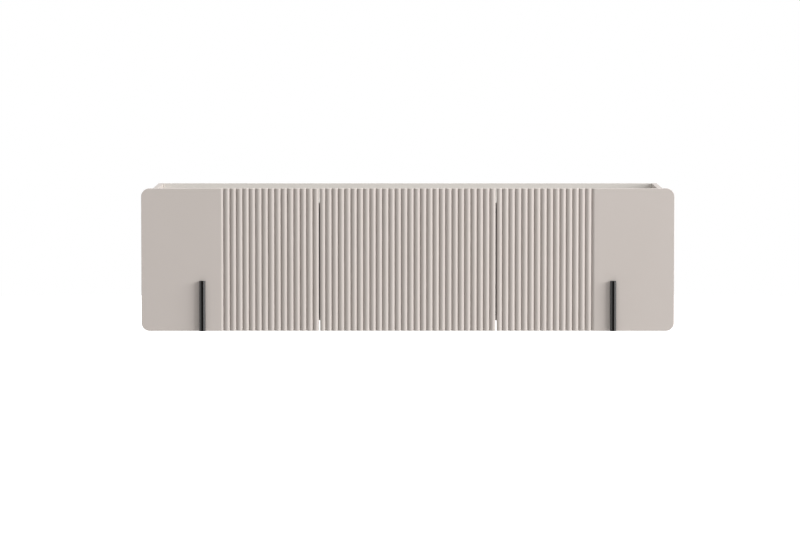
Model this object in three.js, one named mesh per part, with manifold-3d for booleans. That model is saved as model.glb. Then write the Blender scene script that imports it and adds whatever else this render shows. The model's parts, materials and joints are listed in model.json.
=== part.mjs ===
// A wall-hung media console: a shallow cabinet with a tray top, closed by three lift-up fronts with
// half-round reeds.
// Units are millimetres. X runs to the viewer's right, Y from the room to the wall, Z up.
// The origin is the middle of the wall rail's back face, on the plane of the wall.
import * as THREE from "three";
import { mergeVertices } from "three/addons/utils/BufferGeometryUtils.js";
import Module from "manifold-3d";

const wasm = await Module();
wasm.setup();

// Overall sizes. Three fronts share the width and stand in front of a narrower carcass.
const WIDTH = 1800;
const HEIGHT = 482;
const DEPTH = 380; // from the wall to the face of the fronts
const TOP = 111; // the fronts' top edge, above the wall rail's centre line
const BOTTOM = TOP - HEIGHT;
const FIT = 0.3; // hairline left between two pieces that touch
const PAST = 1; // how far a cutter runs past the face that it cuts
const SIDES = 12; // of a small round bar
const HOLE_SIDES = 10;
const RING_SIDES = 20;
const CORNER_STEPS = 6;

// Fronts
const FRONT = 22; // thickness at a reed's crest
const CENTRE_WIDTH = 597; // from gap to gap; the outer fronts share the rest
const GAP_X = CENTRE_WIDTH / 2; // middle of the gap beside the centre front
const FRONT_GAP = 4; // between neighbouring fronts, in the bottom of a groove
const OUTER_CORNER = 27; // radius of the console's four outer corners
const CENTRE_REEDS = 28;
const CENTRE_PITCH = CENTRE_WIDTH / CENTRE_REEDS;
const OUTER_REEDS = 15;
const OUTER_PITCH = 21.54;
const REED_DEPTH = 8.5;
const REED_STEPS = 8;

// Carcass
const BOARD = 18;
const SIDE_OVERHANG = 38.5; // the fronts stand this far past the side panels
const BOTTOM_OVERHANG = 34; // and this far below the bottom board, as a finger grip
const TRAY_DEPTH = 50;
const FRONT_REVEAL = 3; // between the fronts' backs and the carcass
const CARCASS_FRONT = -(DEPTH - FRONT - FRONT_REVEAL);
const SIDE_OUTER = WIDTH / 2 - SIDE_OVERHANG;
const SIDE_INNER = SIDE_OUTER - BOARD;
const TRAY_FLOOR = TOP - TRAY_DEPTH;
const CEILING = TRAY_FLOOR - BOARD;
const UNDERSIDE = BOTTOM + BOTTOM_OVERHANG;
const FLOOR = UNDERSIDE + BOARD;
const DIVIDER_SETBACK = 40;
const SHELF_Z = -147;
const SHELF_SETBACK = 30;

// Back: thin panels stand clear of the wall, so the rail, the hooks and the cables fit behind them
const BACK_PANEL = 8;
const CABLE_SPACE = 20;
const BACK_FACE = -(CABLE_SPACE + BACK_PANEL);
const CABLE_HOLE_Z = -240;
const GROMMET_OUTER = 36;
const GROMMET_TUBE = 30;
const GROMMET_BORE = 27;
const GROMMET_FLANGE = 2;

// Long hinges, one along the top of each front
const PIVOT_Y = CARCASS_FRONT - FRONT_REVEAL / 2;
const PIVOT_DROP = 6; // the pivot below the fronts' top edge
const PIVOT_Z = TOP - PIVOT_DROP;
const HINGE_LENGTH = 500;
const HINGE_KNUCKLES = 10;
const KNUCKLE_RADIUS = 3;
const KNUCKLE_BORE = 1.8;
const PIN_RADIUS = 1.4;
const LEAF_HEIGHT = 23;
const LEAF_THICKNESS = FRONT_REVEAL / 2 - 2 * FIT;
const REBATE = KNUCKLE_RADIUS + 0.6; // clear radius cut for the knuckles in front and rail
const RAIL_STOP = 22; // a rail ends this far from the middle of the gap between two fronts
const OUTER_HINGE_X = 580; // centre of an outer front's hinge
const SWING_NOTCH = 6.5; // depth of the side panels' notch, where an opening front's top edge swings back

// Gas struts, placed from the pivot: back towards the wall and down
const STRUT_FOOT = { back: 140, down: 206 };
const STRUT_HEAD = { back: 14, down: 86 };
const STRUT_OFF_WALL = 16; // strut axis from the upright that carries it
const SOCKET_RADIUS = 6.5;
const SOCKET_HALF = 6;
const NECK_RADIUS = 4;
const TUBE_RADIUS = 7.5;
const TUBE_BORE = 3.5;
const ROD_RADIUS = 3;
const STUD_RADIUS = 3.5;
const STUD_GAP = 0.4;
const TUBE_START = 13;
const TUBE_EDGE = 1.5;
const BORE_END = 18;
const HEAD_NECK = 14; // from the end of the tube to the middle of the rod's socket
const ROD_SHOWS = 0.5; // bare rod between tube and socket with the front shut
const FOOT_PLATE = { thickness: 2.5, depth: 24, height: 34 };
const HEAD_PLATE = { thickness: 2.5, width: 28, height: 30 };
const EAR = { clear: 2, thickness: 3, height: 16, past: 6 };

// Handles
const HANDLE = { x: 694, length: 170, width: 20, reach: 16, chamfer: { across: 6.8, back: 4.4 } };
const SCREW_SPACING = 96;
const SCREW = { shank: 2, hole: 2.6, head: 4, headHeight: 1.8, bite: 8 };

// Catches and push latch, standing on the bottom board behind the fronts
const CATCH = { x: 600, width: 36, depth: 30, height: 13, footWidth: 54, footHeight: 2, footInset: 4 };
const CATCH_PLATE = { width: 34, thickness: 1.8, height: 12 };
const LATCH = { width: 18, depth: 66, height: 14, footWidth: 34, footHeight: 2, footInset: 6, setback: 3.5 };
const STRIKER = { width: 24, thickness: 1.5, height: 13 };
const PLUNGER = { radius: 4, length: 30, bore: 4.6, boreDepth: 36 };

// Wall rail and hangers
const RAIL_LENGTH = 1680;
const RAIL = { sheet: 2, low: -22, step: 4, high: 20, offset: 6.5 };
const RAIL_SLOTS = [100, 300, 500, 700];
const SLOT = { width: 26, height: 7, z: -10 };
const HANGER = { width: 18, depth: 46, height: 56 };
const HOOK = { width: 12, sheet: 3, armZ: 21.5, tipZ: 8, legY: -3, rootLow: 14, rootHigh: 38 };
const NOTCH = { width: 22, low: 10 };

const FINISHES = {
  lacquer: { color: 0xc5bdb6, roughness: 0.55, metalness: 0 },
  board: { color: 0xc9c2bb, roughness: 0.6, metalness: 0 },
  black: { color: 0x1c1a18, roughness: 0.4, metalness: 0.3 },
  blackPlastic: { color: 0x222120, roughness: 0.5, metalness: 0 },
  greyPlastic: { color: 0x8f8d8a, roughness: 0.5, metalness: 0 },
  nickel: { color: 0xb8b6b0, roughness: 0.35, metalness: 1 },
  chrome: { color: 0xd6d6d6, roughness: 0.1, metalness: 1 },
  zinc: { color: 0xa9abac, roughness: 0.45, metalness: 1 },
};

function piece(group, name, finish, geometry, position = [0, 0, 0]) {
  const mesh = new THREE.Mesh(geometry, new THREE.MeshStandardMaterial(FINISHES[finish]));
  mesh.name = name;
  mesh.position.set(...position);
  group.add(mesh);
  return mesh;
}

// Solids for joining and cutting

function solid(geometry) {
  const bare = geometry.index ? geometry.toNonIndexed() : geometry.clone();
  bare.deleteAttribute("normal");
  bare.deleteAttribute("uv");
  const merged = mergeVertices(bare, 1e-4);
  return new wasm.Manifold(
    new wasm.Mesh({
      numProp: 3,
      vertProperties: new Float32Array(merged.attributes.position.array),
      triVerts: new Uint32Array(merged.index.array),
    }),
  );
}

function meshOf(body) {
  const mesh = body.getMesh();
  const geometry = new THREE.BufferGeometry();
  geometry.setAttribute("position", new THREE.BufferAttribute(mesh.vertProperties, 3));
  geometry.setIndex(new THREE.BufferAttribute(mesh.triVerts, 1));
  const flat = geometry.toNonIndexed();
  flat.computeVertexNormals();
  return flat;
}

function block([x0, x1], [y0, y1], [z0, z1]) {
  const box = new THREE.BoxGeometry(x1 - x0, y1 - y0, z1 - z0);
  return box.translate((x0 + x1) / 2, (y0 + y1) / 2, (z0 + z1) / 2);
}

// A round bar along "x", "y" or "z" from one place on that axis to another.
function bar(axis, radius, from, to, sides = SIDES) {
  const round = new THREE.CylinderGeometry(radius, radius, to - from, sides);
  round.translate(0, (from + to) / 2, 0);
  if (axis === "x") round.rotateZ(-Math.PI / 2);
  if (axis === "z") round.rotateX(Math.PI / 2);
  return round;
}

// Turns a profile of [radius, height] points round the Z axis.
function turned(profile, sides = SIDES) {
  const points = profile.map(([radius, height]) => new THREE.Vector2(radius, height));
  return new THREE.LatheGeometry(points, sides).rotateX(Math.PI / 2);
}

function outline(points) {
  return new THREE.Shape(points.map(([u, v]) => new THREE.Vector2(u, v)));
}

// Extrudes an outline of [x, y] points upwards.
function upright(points, low, high) {
  const made = new THREE.ExtrudeGeometry(outline(points), { depth: high - low, bevelEnabled: false });
  return made.translate(0, 0, low);
}

// Extrudes an outline of [y, z] points from one x to another.
function lengthwise(points, from, to) {
  const made = new THREE.ExtrudeGeometry(outline(points), { depth: to - from, bevelEnabled: false });
  const axes = new THREE.Matrix4().makeBasis(
    new THREE.Vector3(0, 1, 0),
    new THREE.Vector3(0, 0, 1),
    new THREE.Vector3(1, 0, 0),
  );
  return made.applyMatrix4(axes).translate(from, 0, 0);
}

// Two mirrored halves: what is built at positive x in `right` stands again, mirrored, in `left`.
const media = new THREE.Group();
const halves = { right: new THREE.Group(), left: new THREE.Group() };
halves.left.scale.x = -1;
media.add(halves.right, halves.left);

function pair(name, finish, geometry, position) {
  for (const [side, group] of Object.entries(halves)) {
    piece(group, `${side}_${name}`, finish, geometry, position);
  }
}

// Carcass

function buildCarcass() {
  const notchBack = CARCASS_FRONT + SWING_NOTCH;
  const side = [
    [CARCASS_FRONT, UNDERSIDE],
    [0, UNDERSIDE],
    [0, TOP],
    [notchBack, TOP],
    [notchBack, PIVOT_Z],
    [CARCASS_FRONT, PIVOT_Z],
  ];
  pair("side_panel", "lacquer", lengthwise(side, SIDE_INNER, SIDE_OUTER));

  const inside = [-SIDE_INNER + FIT, SIDE_INNER - FIT];
  pair("hinge_rail", "lacquer", hingeRail([GAP_X + RAIL_STOP, inside[1]], OUTER_HINGE_X));
  piece(media, "centre_hinge_rail", "lacquer", hingeRail([RAIL_STOP - GAP_X, GAP_X - RAIL_STOP], 0));
  piece(media, "top_board", "lacquer", topBoard(inside));
  piece(media, "back_upstand", "lacquer", block(inside, [-BOARD, 0], [CEILING, TOP]));
  const boardDepth = [CARCASS_FRONT, -CABLE_SPACE];
  piece(media, "bottom_board", "lacquer", block(inside, boardDepth, [UNDERSIDE, FLOOR]));

  const dividerDepth = [CARCASS_FRONT + DIVIDER_SETBACK, -CABLE_SPACE];
  const dividerHeight = [FLOOR + FIT, CEILING - FIT];
  const dividerX = [GAP_X - BOARD / 2, GAP_X + BOARD / 2];
  pair("divider", "board", block(dividerX, dividerDepth, dividerHeight));

  const shelfX = [GAP_X + BOARD / 2 + FIT, SIDE_INNER - FIT];
  const shelfDepth = [CARCASS_FRONT + SHELF_SETBACK, BACK_FACE - FIT];
  const shelfHeight = [SHELF_Z - BOARD / 2, SHELF_Z + BOARD / 2];
  pair("shelf", "board", block(shelfX, shelfDepth, shelfHeight));
}

// The tray's floor. It fits behind the hinge rails and reaches forward between them, behind the gaps
// between the fronts, where the tray is open to the front.
function topBoard([x0, x1]) {
  const rear = -BOARD - FIT;
  const front = CARCASS_FRONT + BOARD + FIT;
  const half = RAIL_STOP - FIT;
  const tongue = (x) => [
    [x - half, front],
    [x - half, CARCASS_FRONT],
    [x + half, CARCASS_FRONT],
    [x + half, front],
  ];
  const points = [[x1, front], [x1, rear], [x0, rear], [x0, front], ...tongue(-GAP_X), ...tongue(GAP_X)];
  return upright(points, CEILING, TRAY_FLOOR);
}

// The rail that carries a front's hinge, with a rebate for the hinge's knuckles.
function hingeRail(x, hingeX) {
  const rail = solid(block(x, [CARCASS_FRONT, CARCASS_FRONT + BOARD], [CEILING, PIVOT_Z]));
  const reach = HINGE_LENGTH / 2 + PAST;
  const rebate = block(
    [hingeX - reach, hingeX + reach],
    [CARCASS_FRONT - PAST, PIVOT_Y + REBATE],
    [PIVOT_Z - REBATE, PIVOT_Z + PAST],
  );
  return meshOf(rail.subtract(solid(rebate)));
}

// Back panels, one for each bay, with a cable hole in the middle and, in the outer bays, a corner notched
// for the hanger's hook

function backPanel([x0, x1], notched) {
  const z = [FLOOR + FIT, CEILING - FIT];
  let panel = solid(block([x0, x1], [BACK_FACE, -CABLE_SPACE], z));
  const through = [BACK_FACE - PAST, PAST - CABLE_SPACE];
  const hole = bar("y", GROMMET_TUBE + FIT, ...through, RING_SIDES);
  panel = panel.subtract(solid(hole.translate((x0 + x1) / 2, 0, CABLE_HOLE_Z)));
  if (notched) {
    const notch = block([x1 - NOTCH.width, x1 + PAST], through, [NOTCH.low, CEILING]);
    panel = panel.subtract(solid(notch));
  }
  return meshOf(panel);
}

// A ring that lines a cable hole, with a flange on the room side.
function grommet() {
  const face = BACK_FACE - FIT;
  const profile = [
    [GROMMET_BORE, CABLE_SPACE],
    [GROMMET_TUBE, CABLE_SPACE],
    [GROMMET_TUBE, -face],
    [GROMMET_OUTER, -face],
    [GROMMET_OUTER, -face + GROMMET_FLANGE],
    [GROMMET_BORE, -face + GROMMET_FLANGE],
    [GROMMET_BORE, CABLE_SPACE],
  ];
  return turned(profile, RING_SIDES).rotateX(Math.PI / 2);
}

function buildBack() {
  const outerX = [GAP_X + BOARD / 2 + FIT, SIDE_INNER - FIT];
  const centreX = GAP_X - BOARD / 2 - FIT;
  pair("back_panel", "board", backPanel(outerX, true));
  piece(media, "centre_back_panel", "board", backPanel([-centreX, centreX], false));
  pair("cable_grommet", "blackPlastic", grommet(), [(outerX[0] + outerX[1]) / 2, 0, CABLE_HOLE_Z]);
  piece(media, "centre_cable_grommet", "blackPlastic", grommet(), [0, 0, CABLE_HOLE_Z]);
}

// Wall fixing: a folded steel rail screwed to the wall, and a hanger in each top rear corner that hooks
// over it

function wallRail() {
  const { sheet, low, step, high, offset } = RAIL;
  const section = [
    [0, low],
    [0, step + sheet],
    [-offset, step + sheet],
    [-offset, high],
    [-offset - sheet, high],
    [-offset - sheet, step],
    [-sheet, step],
    [-sheet, low],
  ];
  let rail = solid(lengthwise(section, -RAIL_LENGTH / 2, RAIL_LENGTH / 2));
  for (const place of RAIL_SLOTS) {
    for (const x of [-place, place]) {
      const slot = block(
        [x - SLOT.width / 2, x + SLOT.width / 2],
        [-sheet - PAST, PAST],
        [SLOT.z - SLOT.height / 2, SLOT.z + SLOT.height / 2],
      );
      rail = rail.subtract(solid(slot));
    }
  }
  return meshOf(rail);
}

function hook() {
  const { width, sheet, armZ, tipZ, legY, rootLow, rootHigh } = HOOK;
  const root = BACK_FACE - FIT;
  const section = [
    [root, rootLow],
    [root + sheet, rootLow],
    [root + sheet, armZ],
    [legY - sheet, armZ],
    [legY - sheet, tipZ],
    [legY, tipZ],
    [legY, armZ + sheet],
    [root + sheet, armZ + sheet],
    [root + sheet, rootHigh],
    [root, rootHigh],
  ];
  return lengthwise(section, -width / 2, width / 2);
}

function buildWallFixing() {
  piece(media, "wall_rail", "zinc", wallRail());
  const outer = SIDE_INNER - FIT;
  const rear = BACK_FACE - 2 * FIT;
  const high = CEILING - FIT;
  const bodyX = [outer - HANGER.width, outer];
  pair("hanger", "greyPlastic", block(bodyX, [rear - HANGER.depth, rear], [high - HANGER.height, high]));
  pair("hanger_hook", "zinc", hook(), [outer - HANGER.width / 2 - FIT, 0, 0]);
}

// Fronts. Everything that turns with a front is placed from the middle of the console, on its pivot line.

const BACK_PLANE = -FRONT_REVEAL / 2;
const FACE_PLANE = BACK_PLANE - FRONT;
const FRONT_LOW = BOTTOM - PIVOT_Z;

// Points along the arc of one reed of the given pitch from x = from to x = to.
function reedArc(pitch, crest, from, to) {
  const radius = ((pitch / 2) ** 2 + REED_DEPTH ** 2) / (2 * REED_DEPTH);
  const start = Math.asin((from - crest) / radius);
  const end = Math.asin((to - crest) / radius);
  return Array.from({ length: REED_STEPS + 1 }, (_, i) => {
    const angle = start + ((end - start) * i) / REED_STEPS;
    return [crest + radius * Math.sin(angle), FACE_PLANE + radius * (1 - Math.cos(angle))];
  });
}

// The outline of a front seen from above: a flat back, and reeds from the groove at `firstGroove` to the
// right. Where a plain stretch leads up to that groove, it rolls into it as half a reed does.
function frontOutline(left, right, firstGroove, reeds, pitch) {
  const half = pitch / 2;
  const points = [[left, BACK_PLANE]];
  if (left < firstGroove - pitch) {
    points.push([left, FACE_PLANE]);
    points.push(...reedArc(pitch, firstGroove - half, firstGroove - half, firstGroove));
  }
  for (let i = 0; i < reeds; i++) {
    const crest = firstGroove + (i + 0.5) * pitch;
    const from = Math.max(left, crest - half);
    const to = Math.min(right, crest + half);
    points.push(...reedArc(pitch, crest, from, to).slice(from > left ? 1 : 0));
  }
  points.push([right, BACK_PLANE]);
  return points;
}

// The console's rounded outline where the left front ends it, as a plate that trims the front's corners.
function cornerTrim(left, right) {
  const high = FRONT_LOW + HEIGHT;
  const edge = new THREE.Shape();
  edge.moveTo(right + PAST, FRONT_LOW);
  edge.lineTo(right + PAST, high);
  edge.lineTo(left + OUTER_CORNER, high);
  edge.absarc(left + OUTER_CORNER, high - OUTER_CORNER, OUTER_CORNER, Math.PI / 2, Math.PI);
  edge.lineTo(left, FRONT_LOW + OUTER_CORNER);
  edge.absarc(left + OUTER_CORNER, FRONT_LOW + OUTER_CORNER, OUTER_CORNER, Math.PI, Math.PI * 1.5);
  const settings = { depth: FRONT + 2 * PAST, bevelEnabled: false, curveSegments: CORNER_STEPS };
  return new THREE.ExtrudeGeometry(edge, settings).rotateX(Math.PI / 2).translate(0, BACK_PLANE + PAST, 0);
}

function knuckleRebate(centre) {
  const reach = HINGE_LENGTH / 2 + PAST;
  return block([centre - reach, centre + reach], [-REBATE, PAST], [-REBATE, PIVOT_DROP + PAST]);
}

function screwPlaces() {
  const middle = FRONT_LOW + HANDLE.length / 2;
  return [
    ["lower", middle - SCREW_SPACING / 2],
    ["upper", middle + SCREW_SPACING / 2],
  ];
}

// A round hole along Y through the places of a handle's two screws.
function drillScrews(body, from, to) {
  let drilled = body;
  for (const [, z] of screwPlaces()) {
    const hole = bar("y", SCREW.hole, from, to, HOLE_SIDES).translate(-HANDLE.x, 0, z);
    drilled = drilled.subtract(solid(hole));
  }
  return drilled;
}

function outerFront() {
  const left = -WIDTH / 2;
  const right = -GAP_X - FRONT_GAP / 2;
  const firstGroove = -GAP_X - OUTER_REEDS * OUTER_PITCH;
  const points = frontOutline(left, right, firstGroove, OUTER_REEDS, OUTER_PITCH);
  let front = solid(upright(points, FRONT_LOW, FRONT_LOW + HEIGHT));
  front = front.intersect(solid(cornerTrim(left, right)));
  front = front.subtract(solid(knuckleRebate(-OUTER_HINGE_X)));
  front = drillScrews(front, FACE_PLANE - PAST, BACK_PLANE + PAST);
  return meshOf(front);
}

function centreFront() {
  const edge = GAP_X - FRONT_GAP / 2;
  const points = frontOutline(-edge, edge, -GAP_X, CENTRE_REEDS, CENTRE_PITCH);
  const front = solid(upright(points, FRONT_LOW, FRONT_LOW + HEIGHT));
  return meshOf(front.subtract(solid(knuckleRebate(0))));
}

// Handle: an upright bar with its two front edges chamfered, screwed on from behind.
function handle() {
  const base = FACE_PLANE - FIT;
  const nose = FACE_PLANE - HANDLE.reach;
  const half = HANDLE.width / 2;
  const flat = half - HANDLE.chamfer.across;
  const section = [
    [-half, base],
    [-half, nose + HANDLE.chamfer.back],
    [-flat, nose],
    [flat, nose],
    [half, nose + HANDLE.chamfer.back],
    [half, base],
  ].map(([x, y]) => [x - HANDLE.x, y]);
  const body = solid(upright(section, FRONT_LOW, FRONT_LOW + HANDLE.length));
  return meshOf(drillScrews(body, base - SCREW.bite - PAST, base + PAST));
}

function handleScrew() {
  const seat = -BACK_PLANE - FIT;
  const profile = [
    [0, seat - SCREW.headHeight],
    [SCREW.head, seat - SCREW.headHeight],
    [SCREW.head, seat],
    [SCREW.shank, seat],
    [SCREW.shank, -FACE_PLANE + SCREW.bite],
    [0, -FACE_PLANE + SCREW.bite],
  ];
  return turned(profile, HOLE_SIDES).rotateX(Math.PI / 2);
}

// One leaf of a long hinge with every second knuckle. The front's leaf lies on the -Y side of the pivot.
function hingeLeaf(side, firstKnuckle) {
  const near = side * FIT;
  const far = side * (FIT + LEAF_THICKNESS);
  const y = [Math.min(near, far), Math.max(near, far)];
  const end = HINGE_LENGTH / 2;
  const step = HINGE_LENGTH / HINGE_KNUCKLES;
  let leaf = solid(block([-end, end], y, [-LEAF_HEIGHT, -REBATE]));
  for (let i = firstKnuckle; i < HINGE_KNUCKLES; i += 2) {
    const x = [-end + i * step + FIT, -end + (i + 1) * step - FIT];
    leaf = leaf.add(solid(block(x, y, [-REBATE - PAST, -KNUCKLE_BORE - FIT])));
    leaf = leaf.add(solid(bar("x", KNUCKLE_RADIUS, ...x)));
  }
  return meshOf(leaf.subtract(solid(bar("x", KNUCKLE_BORE, -end - PAST, end + PAST, HOLE_SIDES))));
}

function hingePin() {
  return bar("x", PIN_RADIUS, -HINGE_LENGTH / 2 + FIT, HINGE_LENGTH / 2 - FIT, HOLE_SIDES);
}

// Gas strut, from the ball socket at its foot to the one at its head, along +Z

const STRUT_ACROSS = STRUT_HEAD.back - STRUT_FOOT.back;
const STRUT_RISE = STRUT_FOOT.down - STRUT_HEAD.down;
const STRUT_LENGTH = Math.hypot(STRUT_ACROSS, STRUT_RISE);
const STRUT_LEAN = Math.atan2(-STRUT_ACROSS, STRUT_RISE);
const TUBE_END = STRUT_LENGTH - HEAD_NECK;

function ballSocket(height) {
  return solid(bar("x", SOCKET_RADIUS, -SOCKET_HALF, SOCKET_HALF).translate(0, 0, height));
}

function strutCylinder() {
  const profile = [
    [0, NECK_RADIUS],
    [NECK_RADIUS, NECK_RADIUS],
    [NECK_RADIUS, TUBE_START],
    [TUBE_RADIUS, TUBE_START + TUBE_EDGE],
    [TUBE_RADIUS, TUBE_END - TUBE_EDGE],
    [TUBE_RADIUS - TUBE_EDGE, TUBE_END],
    [TUBE_BORE, TUBE_END],
    [TUBE_BORE, BORE_END],
    [0, BORE_END],
  ];
  return meshOf(solid(turned(profile)).add(ballSocket(0)));
}

function strutRod() {
  const profile = [
    [0, BORE_END + PAST],
    [ROD_RADIUS, BORE_END + PAST],
    [ROD_RADIUS, TUBE_END + ROD_SHOWS],
    [NECK_RADIUS, TUBE_END + ROD_SHOWS],
    [NECK_RADIUS, STRUT_LENGTH - NECK_RADIUS],
    [0, STRUT_LENGTH - NECK_RADIUS],
  ];
  return meshOf(solid(turned(profile)).add(ballSocket(STRUT_LENGTH)));
}

// Plate on the upright, with a stud for the strut's foot. X runs off the upright.
function footBracket() {
  const { thickness, depth, height } = FOOT_PLATE;
  const plate = solid(block([FIT, FIT + thickness], [-depth / 2, depth / 2], [-height / 2, height / 2]));
  const stud = bar("x", STUD_RADIUS, FIT + thickness / 2, STRUT_OFF_WALL - SOCKET_HALF - STUD_GAP);
  return meshOf(plate.add(solid(stud)));
}

// Angle on the back of a front, with a stud that points at the strut's head from the far side.
function headBracket() {
  const { thickness, width, height } = HEAD_PLATE;
  const socket = STRUT_OFF_WALL + SOCKET_HALF;
  const near = socket + EAR.clear;
  const seat = BACK_PLANE + FIT;
  const [y, z] = [STRUT_HEAD.back, -STRUT_HEAD.down];
  const plate = solid(block([near, near + width], [seat, seat + thickness], [z - height / 2, z + height / 2]));
  const earZ = [z - EAR.height / 2, z + EAR.height / 2];
  const ear = block([near, near + EAR.thickness], [seat, y + EAR.past], earZ);
  const stud = bar("x", STUD_RADIUS, socket + STUD_GAP, near + EAR.thickness / 2).translate(0, y, z);
  return meshOf(plate.add(solid(ear)).add(solid(stud)));
}

// The strut and its brackets, on an upright whose face is at x = wall. They reach off it towards +X.
function addStrut(group, side, wall) {
  const foot = [wall + STRUT_OFF_WALL, PIVOT_Y + STRUT_FOOT.back, PIVOT_Z - STRUT_FOOT.down];
  piece(group, `${side}_strut_foot_bracket`, "zinc", footBracket(), [wall, foot[1], foot[2]]);
  piece(group, `${side}_strut_head_bracket`, "zinc", headBracket(), [wall, PIVOT_Y, PIVOT_Z]);
  const strut = new THREE.Group();
  strut.position.set(...foot);
  strut.rotation.x = STRUT_LEAN;
  piece(strut, `${side}_strut_cylinder`, "black", strutCylinder());
  piece(strut, `${side}_strut_rod`, "chrome", strutRod());
  group.add(strut);
}

function addHinge(group, side, x) {
  piece(group, `${side}_hinge_frame_leaf`, "nickel", hingeLeaf(1, 0), [x, PIVOT_Y, PIVOT_Z]);
  piece(group, `${side}_hinge_front_leaf`, "nickel", hingeLeaf(-1, 1), [x, PIVOT_Y, PIVOT_Z]);
  piece(group, `${side}_hinge_pin`, "nickel", hingePin(), [x, PIVOT_Y, PIVOT_Z]);
}

// Magnetic catch on the bottom board, and its plate on the back of an outer front

function catchBody() {
  const { width, depth, height, footWidth, footHeight, footInset } = CATCH;
  const foot = solid(block([-footWidth / 2, footWidth / 2], [footInset, depth - footInset], [0, footHeight]));
  return meshOf(foot.add(solid(block([-width / 2, width / 2], [0, depth], [0, height]))));
}

function addOuterFront(group, side) {
  const pivot = [0, PIVOT_Y, PIVOT_Z];
  piece(group, `${side}_front`, "lacquer", outerFront(), pivot);
  piece(group, `${side}_handle`, "black", handle(), pivot);
  for (const [place, z] of screwPlaces()) {
    const name = `${side}_handle_screw_${place}`;
    piece(group, name, "zinc", handleScrew(), [-HANDLE.x, PIVOT_Y, PIVOT_Z + z]);
  }
  addHinge(group, side, -OUTER_HINGE_X);
  addStrut(group, side, -SIDE_INNER);

  const low = FLOOR + FIT;
  piece(group, `${side}_catch`, "greyPlastic", catchBody(), [-CATCH.x, CARCASS_FRONT, low]);
  const { width, thickness, height } = CATCH_PLATE;
  const seat = CARCASS_FRONT - FRONT_REVEAL + FIT;
  const plate = block([-width / 2, width / 2], [seat, seat + thickness], [low, low + height]);
  piece(group, `${side}_catch_plate`, "zinc", plate, [-CATCH.x, 0, 0]);
}

// Push latch for the centre front, which has no handle

function addPushLatch() {
  const low = FLOOR + FIT;
  const { width, depth, height, footWidth, footHeight, footInset, setback } = LATCH;
  const front = CARCASS_FRONT + setback;
  const axisZ = low + height / 2;
  const foot = solid(block([-footWidth / 2, footWidth / 2], [footInset, depth - footInset], [0, footHeight]));
  const body = foot.add(solid(block([-width / 2, width / 2], [0, depth], [0, height])));
  const bore = bar("y", PLUNGER.bore, -PAST, PLUNGER.boreDepth).translate(0, 0, height / 2);
  piece(media, "push_latch", "greyPlastic", meshOf(body.subtract(solid(bore))), [0, front, low]);

  const seat = CARCASS_FRONT - FRONT_REVEAL + FIT;
  const tip = seat + STRIKER.thickness + FIT;
  const plunger = bar("y", PLUNGER.radius, 0, PLUNGER.length);
  piece(media, "push_latch_plunger", "blackPlastic", plunger, [0, tip, axisZ]);
  const strikerX = [-STRIKER.width / 2, STRIKER.width / 2];
  const strikerZ = [axisZ - STRIKER.height / 2, axisZ + STRIKER.height / 2];
  piece(media, "push_latch_striker", "zinc", block(strikerX, [seat, seat + STRIKER.thickness], strikerZ));
}

buildCarcass();
buildBack();
buildWallFixing();
const fronts = { left: new THREE.Group(), right: new THREE.Group() };
fronts.right.scale.x = -1;
media.add(fronts.left, fronts.right);
for (const [side, group] of Object.entries(fronts)) addOuterFront(group, side);
piece(media, "centre_front", "lacquer", centreFront(), [0, PIVOT_Y, PIVOT_Z]);
addHinge(media, "centre", 0);
addStrut(media, "centre", -GAP_X + BOARD / 2);
addPushLatch();

export default media;
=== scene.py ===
"""A wall-hung media console: lacquered cabinet, tray top and three reeded fronts that lift up.

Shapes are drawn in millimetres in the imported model's frame: X to the right, Y to the wall, Z up,
with the wall at y = 0. They are brought to metres when a piece is finished. Where left and right
are made by one drawing, it shows the left piece, and the right one is mirrored.
"""

import json
import math

import bmesh
import bpy
from mathutils import Matrix, Vector

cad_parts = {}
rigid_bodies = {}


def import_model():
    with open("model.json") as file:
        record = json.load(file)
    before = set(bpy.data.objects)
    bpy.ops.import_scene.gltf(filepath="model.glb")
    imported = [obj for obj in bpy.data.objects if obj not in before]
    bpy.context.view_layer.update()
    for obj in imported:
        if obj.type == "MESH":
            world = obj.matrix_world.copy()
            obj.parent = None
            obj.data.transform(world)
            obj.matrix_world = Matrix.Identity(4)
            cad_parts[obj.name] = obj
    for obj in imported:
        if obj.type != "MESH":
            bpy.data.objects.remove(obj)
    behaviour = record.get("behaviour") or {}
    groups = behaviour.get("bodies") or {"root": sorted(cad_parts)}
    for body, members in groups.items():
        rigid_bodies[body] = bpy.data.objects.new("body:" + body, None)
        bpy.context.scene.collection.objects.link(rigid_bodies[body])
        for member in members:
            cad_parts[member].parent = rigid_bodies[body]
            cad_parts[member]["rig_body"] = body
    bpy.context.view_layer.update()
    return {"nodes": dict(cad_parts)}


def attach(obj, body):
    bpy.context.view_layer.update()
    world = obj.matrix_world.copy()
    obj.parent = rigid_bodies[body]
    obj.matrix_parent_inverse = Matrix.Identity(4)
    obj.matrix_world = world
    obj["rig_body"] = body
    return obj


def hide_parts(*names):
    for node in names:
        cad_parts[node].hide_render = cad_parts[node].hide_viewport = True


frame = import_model()
nodes = frame["nodes"]
scene = bpy.context.scene

MM = 0.001
SIDES = ("left", "right")
FIT = 0.3  # hairline between two pieces that meet
SCREW_TURN = 0.7  # from one screw's recess to the next one's

# Cabinet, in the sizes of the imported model
TOP = 111
BOTTOM = -371
HALF_WIDTH = 900
FACE = -380  # plain face of the fronts
BACK = -358  # rear side of the fronts
BOARD = 18
SIDE_INNER = 843.5
CEILING = 43  # underside of the top board
FLOOR = -319  # upper side of the bottom board
GAP_X = 298.5  # middle of a divider, in line with the gap between two fronts

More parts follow.
